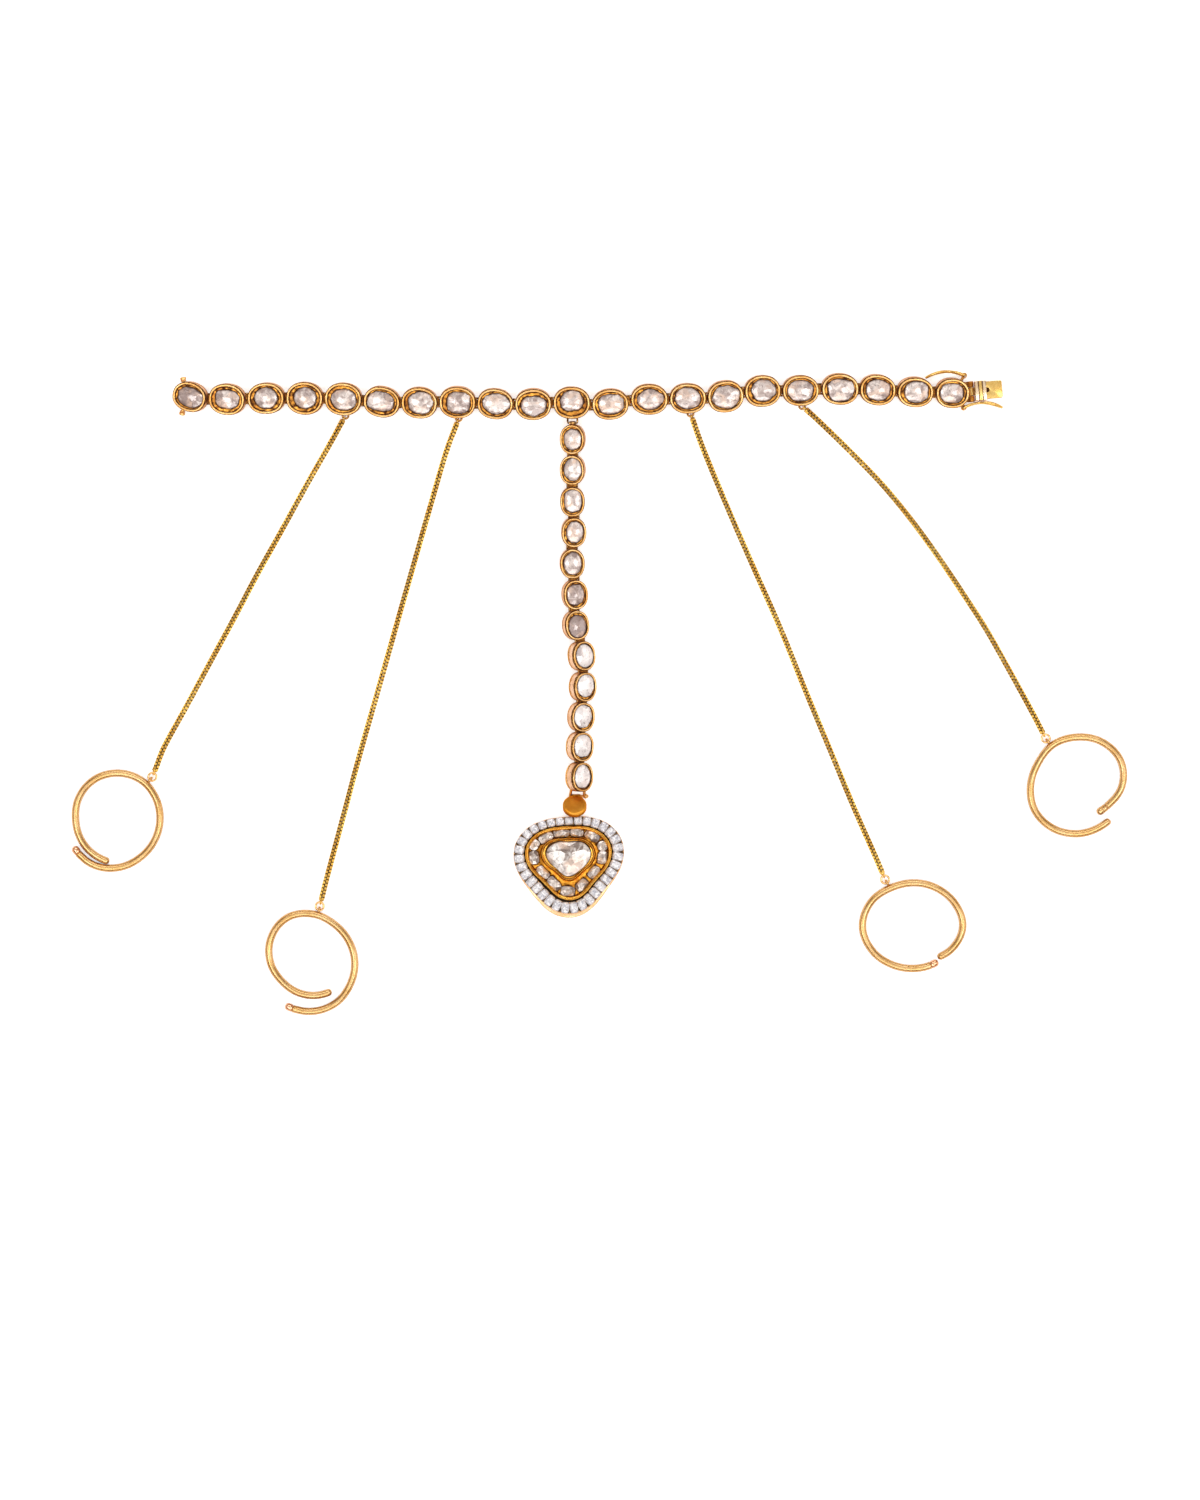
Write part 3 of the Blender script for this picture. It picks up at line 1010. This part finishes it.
def box_link():
    """The mesh of one link: a square loop of flat wire, its length along X and its opening along Z."""
    one = blank()
    length = link_pitch + 2 * link_thick
    bmesh.ops.create_cube(one, size=1, matrix=Matrix.Diagonal((length, link_wide, link_strip, 1)))
    upright = [e for e in one.edges if abs((e.verts[0].co - e.verts[1].co).z) > 0.1]
    bmesh.ops.bevel(one, geom=upright, offset=0.11, affect="EDGES", segments=2, profile=0.5, material=-1)
    ends = [f for f in one.faces if abs(f.normal.z) > 0.9]
    bmesh.ops.inset_individual(one, faces=ends, thickness=link_thick, depth=0)
    rims = [e for f in ends for e in f.edges]
    bmesh.ops.delete(one, geom=ends, context="FACES_ONLY")
    bmesh.ops.bridge_loops(one, edges=rims)
    for v in one.verts:
        x, y = abs(v.co.x), abs(v.co.y)
        inner = x < length / 2 - 0.9 * link_thick and y < link_wide / 2 - 0.9 * link_thick
        v[one.verts.layers.float["tone"]] = 1.1 if inner or x > length / 2 - 0.1 else 0.1
    mesh = bpy.data.meshes.new("box_link")
    one.to_mesh(mesh)
    one.free()
    return mesh


stencil = box_link()
for k, (route, jump, cup) in enumerate(zip(chain_routes, jumps, eye_shifts)):
    bm = blank()
    eye = eye_centre(cup)
    out = flattened(Vector((*route[0], 0)) - eye)
    back = flattened(Vector((*route[-1], 0)) - jump)
    loops = [(eye + eye_radius * out, out), (jump + jump_radius * back, back)]
    start, stop = (loop + 0.32 * toward for loop, toward in loops)
    line = [start, start + 1.2 * out] + [(*p, chain_height) for p in route] + [stop + 1.2 * back, stop]
    stations = evenly([smooth(line, i * (len(line) - 1) / 400) for i in range(401)], link_pitch)
    draw = random.Random(20 + k)
    for n, (p, ahead) in enumerate(stations[:-1]):
        roll = 45 + 90 * (n % 2) + 16 * sin(0.045 * n + k) + draw.uniform(-5, 5)
        first = len(bm.verts)
        bm.from_mesh(stencil)
        bm.verts.ensure_lookup_table()
        place = at(p.x, p.y, p.z + draw.uniform(-0.01, 0.02)) @ turned(degrees(atan2(ahead.y, ahead.x)))
        bmesh.ops.transform(bm, matrix=place @ turned(roll, "X"), verts=bm.verts[first:])
    for loop, toward in loops:
        solder = [loop + toward * (0.32 + s) for s in (-0.1, -0.04, 0.1, 0.35, 0.6, 0.75)]
        wire(bm, solder, [0.2, 0.34, 0.46, 0.5, 0.46, 0.3], 12, 0.25, False)
        hoop(bm, loop, 0.42, 0.28, 0.2, 20, 8, upright=toward)
    finished(bm, f"box_chain_{k + 1}", [chain_gold], [f"chain_{k + 1}"])
    bm = blank()
    hoop(bm, jump, jump_radius, 0.43, 0.1, 40, 14)
    finished(bm, f"link_ring_{k + 1}", [jump_gold], [f"jump_ring_{k + 1}"])
bpy.data.meshes.remove(stencil)


# Finger rings. Each is one polished gold wire bent round, with its ends passing each other so that it springs to
# the finger. One end has a ball behind a turned groove, the other is rounded. A stout eye holds the jump ring.
ring_gold = gold("ring_gold", (0.74, 0.48, 0.225), (0.64, 0.37, 0.13), (0.24, 0.11, 0.035), rough=(0.22, 0.32),
                 brush=0.08)
ball_gold = gold("ball_gold", (0.88, 0.53, 0.34), (0.80, 0.42, 0.22), (0.30, 0.13, 0.05), rough=(0.12, 0.22))
ring_height = 0.785
wire_radius = ring_height - 0.04
rings_table = [  # middle, direction of the first bend, directions of the two ends, length of the ball's end
    ((-99.0, -26.4), 180, 214, 612, 0.8), ((-59.1, -55.4), 210, 242, 657, 0.8), ((64.4, -48.0), -90, 300, -47, 0.8),
    ((98.1, -19.1), -90, -48, 309, 1.5),
]
ring_bends = [  # the wire's distance from the ring's middle, every 30 degrees
    (10.4, 10.55, 10.35, 9.55, 8.75, 8.45, 8.55, 9.0, 9.6, 9.85, 9.85, 9.4, 8.75, 8.55, 8.5, 8.6, 8.9),
    (10.5, 10.4, 10.1, 9.65, 9.0, 8.7, 8.65, 9.0, 9.9, 10.5, 9.85, 8.65, 7.45, 6.95, 6.85, 7.05, 7.5),
    (8.0, 7.9, 9.2, 10.15, 9.7, 9.15, 8.9, 9.1, 10.0, 10.45, 9.85, 9.05, 8.7, 8.8, 8.9),
    (7.0, 6.9, 7.6, 9.2, 10.25, 10.3, 9.95, 9.75, 9.3, 9.6, 10.1, 10.1, 9.9, 9.7, 9.8),
]
# Distance along the wire and radius: the groove, the rounded end, the ball, and the collars of the fourth ring
groove = [(0.0, 0.6), (0.04, 0.64), (0.12, 0.65), (0.18, 0.74), (0.26, 0.775), (0.34, 0.75), (0.42, 0.735),
          (0.5, 0.745)]
round_end = [(0.2, 0.98), (0.4, 0.9), (0.55, 0.78), (0.68, 0.59), (0.76, 0.37), (0.79, 0.12)]
ball_shape = [(-0.77, 0.12), (-0.73, 0.3), (-0.63, 0.5), (-0.48, 0.63), (-0.3, 0.73), (-0.05, 0.78), (0.3, 0.78)]
collars = [(0.5, 0.74), (0.55, 0.72), (0.62, 0.78), (0.72, 0.78), (0.8, 0.72), (0.9, 0.75)]


def along(path, distance):
    """The point of a path so far from its first point, or beyond it where the distance is negative."""
    for a, b in zip(path, path[1:]):
        length = (b - a).length
        if distance <= length:
            return a + (b - a) * (distance / length)
        distance -= length


for k, ((x, y), bend_from, tip, tail, ball) in enumerate(rings_table):
    def ring_point(angle):
        r = smooth([(r, 0) for r in ring_bends[k]], (angle - bend_from) / 30).x
        return Vector((x + r * cos(radians(angle)), y + r * sin(radians(angle)), ring_height))

    path = [ring_point(tip + (tail - tip) * i / 200) for i in range(201)]
    long_tip = ball > 1
    body = [(along(path, ball + s), r) for s, r in groove]
    body += [(p, wire_radius) for p in path[14 if long_tip else 8:]]
    body += [(along(path[::-1], -s), wire_radius * r) for s, r in round_end]
    bm = blank()
    wire(bm, [p for p, _ in body], [r for _, r in body], 28, 0.0, False, under=1.0)
    shape = ball_shape + collars * long_tip + [(ball - 0.12, 0.77), (ball - 0.05, 0.72), (ball, 0.62)]
    wire(bm, [along(path, s) for s, _ in shape], [r for _, r in shape], 28, 0.05, False, int(not long_tip), 0.8)
    jump = jumps[k]
    look = degrees(atan2(jump.y - y, jump.x - x))
    seat = ring_point(look + 360 if look < min(tip, tail) else look)
    toward = flattened(seat - jump)
    eye = jump + jump_radius * toward
    hoop(bm, eye, 0.56, 0.5, 0.15, 28, 12, upright=toward)
    wire(bm, [eye + 0.56 * toward, (seat.x, seat.y, jump_height)], 0.27, 12, 0.3)
    finished(bm, f"open_ring_{k + 1}", [ring_gold, ball_gold], [f"finger_ring_{k + 1}"])


# Clasp tongue. A block of gold with two grooves across it carries the barrel's middle tube, and a strip folded
# back under itself, which springs into the plain end's slot. A half-moon notch takes the thumbnail.
clasp_gold = gold("clasp_gold", (0.88, 0.62, 0.22), (0.80, 0.48, 0.125), (0.14, 0.05, 0.02), rough=(0.2, 0.34),
                  stretch=(0.25, 2, 1))
ridge_gold = gold("ridge_gold", (0.98, 0.80, 0.58), (0.94, 0.66, 0.38), (0.14, 0.05, 0.02), rough=(0.12, 0.24),
                  spots=0.3)
bm = blank()
knuckle(bm, clasp_frame @ turned(90), 1.7, barrel_radius)
bar(bm, clasp_frame, (0.45, -0.83, -0.45), (1.0, 0.83, 0.45), 0.7)
for low, high, top, kind in ((0.82, 1.48, 1.25, 1), (1.62, 2.28, 1.2, 0), (2.42, 3.08, 1.25, 1)):
    bar(bm, clasp_frame, (low, -2.0, -1.25), (high, 2.0, top), 0.0, 0.1, kind)
for low, high in ((1.45, 1.68), (2.25, 2.48)):
    bar(bm, clasp_frame, (low, -1.95, -1.25), (high, 1.95, 1.0), 1.0, 0.02)
leaf_low = -0.4  # the folded strip: its lower leaf, the bend at its tip, and its upper leaf 1.1 mm higher
leaf_thick = 0.4
bar(bm, clasp_frame, (2.75, -1.75, leaf_low), (6.3, 1.75, leaf_low + leaf_thick), 0.3, 0.1)
bar(bm, clasp_frame, (5.95, -1.5, leaf_low + 0.1), (6.32, 1.5, leaf_low + 1.4), 0.1, 0.1)
quarter = (0.0, 0.39, 0.79, 1.18, 1.57)
outline = [(3.12, -1.75), (3.12, -0.5)]
outline += [(3.12 + 0.62 * cos(a), 0.5 * sin(a)) for a in (-1.35, -0.9, -0.45, 0.0, 0.45, 0.9, 1.35)]
outline += [(3.12, 0.5), (3.12, 1.75)] + [(6.02 + 0.33 * sin(a), 1.42 + 0.33 * cos(a)) for a in quarter]
outline += [(6.02 + 0.33 * cos(a), -1.42 - 0.33 * sin(a)) for a in quarter]
strip = blank()
leaf = strip.faces.new([strip.verts.new((x, y, leaf_low + 1.1)) for x, y in outline])
raised = only(bmesh.types.BMVert, bmesh.ops.extrude_face_region(strip, geom=[leaf])["geom"])
bmesh.ops.translate(strip, verts=raised, vec=(0, 0, leaf_thick))
top_edges = [e for e in strip.edges if all(v.co.z > leaf_low + 1.49 for v in e.verts)]
bmesh.ops.bevel(strip, geom=top_edges, offset=0.07, affect="EDGES", segments=2, profile=0.5, material=-1)
for v in strip.verts:
    notch = hypot(v.co.x - 3.12, v.co.y) < 0.7
    v[strip.verts.layers.float["tone"]] = 0.9 * (notch and v.co.z < leaf_low + 1.44)
merge_into(bm, strip, clasp_frame)
bar(bm, clasp_frame, (3.1, -0.48, leaf_low + 0.5), (3.7, 0.48, leaf_low + 0.75), 1.3, 0.03)
finished(bm, "tongue", [clasp_gold, ridge_gold], ["clasp_tongue"], body="clasp")


# Safety catches. Each is a wire bent into a figure eight, pinched at its waist, that turns on a pin in its upright
# tube and snaps over a ball post.
catch_length = 7.8
catch_bow = 1.0
catch_height = 1.5
half = [(0, 0.8), (0.9, 1.05), (1.9, 0.8), (3.1, 0.3), (4.3, 0.85), (5.6, 1.15), (6.9, 0.85)]
rows = half + [(catch_length, 0)] + [(x, -z) for x, z in half[::-1]]
bent = [(x, 4 * catch_bow * (x / catch_length) * (1 - x / catch_length), z) for x, z in rows]
for name, (x, y, _, _), turn, side in (("catch_upper", pivots[0], 183, -1), ("catch_lower", pivots[1], 0.5, 1)):
    place = at(x, y, catch_height) @ turned(turn) @ Matrix.Diagonal((1, side, 1, 1))
    bm = blank()
    wire(bm, [place @ smooth(bent, i * (len(bent) - 1) / 90) for i in range(91)], 0.25, 12, 0.1)
    wire(bm, [place @ Vector((0, 0, z)) for z in (-0.8, 0.8)], 0.25, 12, 0.2)
    waist = place @ at(3.1, bent[3][1])
    bmesh.ops.create_uvsphere(bm, u_segments=16, v_segments=10, radius=0.33, matrix=waist)
    finished(bm, f"{name}_wire", [clasp_gold], [name], body=name)


# Floor and light. A plain white table in a room that is darker at the height of the eye and pale overhead. Two
# small lights stand left and right of the view, two long ones in front and behind, and two wide ones at the sides.
floor_mesh = bpy.data.meshes.new("floor")
bm = bmesh.new()
bmesh.ops.create_grid(bm, x_segments=1, y_segments=1, size=3)
bm.to_mesh(floor_mesh)
bm.free()
floor = bpy.data.objects.new("floor", floor_mesh)
bpy.context.scene.collection.objects.link(floor)
white = Finish("floor_white")
white.feed(white.shader, {"Base Color": (0.9, 0.9, 0.9), "Roughness": 0.8, "Emission Color": (1, 1, 1),
                          "Emission Strength": 0.5})
floor.data.materials.append(white.material)

room = bpy.data.worlds.new("room")
bpy.context.scene.world = room
room.use_nodes = True
nodes, links = room.node_tree.nodes, room.node_tree.links
view = nodes.new("ShaderNodeTexCoord")
split = nodes.new("ShaderNodeSeparateXYZ")
shade = nodes.new("ShaderNodeValToRGB")
links.new(view.outputs["Generated"], split.inputs[0])
links.new(split.outputs["Z"], shade.inputs["Fac"])
heights = [(0.0, (0.75, 0.56, 0.50)), (0.25, (0.42, 0.30, 0.24)), (0.52, (0.30, 0.215, 0.175)),
           (0.78, (0.50, 0.45, 0.41)), (0.92, (0.88, 0.86, 0.83)), (1.0, (1.0, 0.98, 0.95))]
shade.color_ramp.elements[0].color = (*heights[0][1], 1)
shade.color_ramp.elements[1].color = (*heights[-1][1], 1)
for height, colour in heights[1:-1]:
    shade.color_ramp.elements.new(height).color = (*colour, 1)
links.new(shade.outputs["Color"], nodes["Background"].inputs["Color"])
nodes["Background"].inputs["Strength"].default_value = 0.9

lights = [  # name, place, size, watts; each looks at the middle of the table
    ("key_left", (-0.46, -0.20, 1.15), (0.36, 0.36), 2.0), ("key_right", (0.46, -0.20, 1.15), (0.36, 0.36), 2.0),
    ("front", (0, -0.9, 1.1), (1.2, 0.4), 5), ("back", (0, 1.1, 1.0), (1.6, 0.4), 6),
    ("side_right", (1.15, 0, 0.85), (0.9, 0.8), 3.2), ("side_left", (-1.15, 0, 0.85), (0.9, 0.8), 1.2),
]
for name, place, size, watts in lights:
    lamp = bpy.data.lights.new(name, "AREA")
    lamp.shape = "RECTANGLE"
    lamp.size, lamp.size_y = size
    lamp.energy = watts
    holder = bpy.data.objects.new(name, lamp)
    holder.location = place
    holder.rotation_euler = (-Vector(place)).to_track_quat("-Z", "Y").to_euler()
    bpy.context.scene.collection.objects.link(holder)
bpy.context.scene.view_settings.view_transform = "Standard"
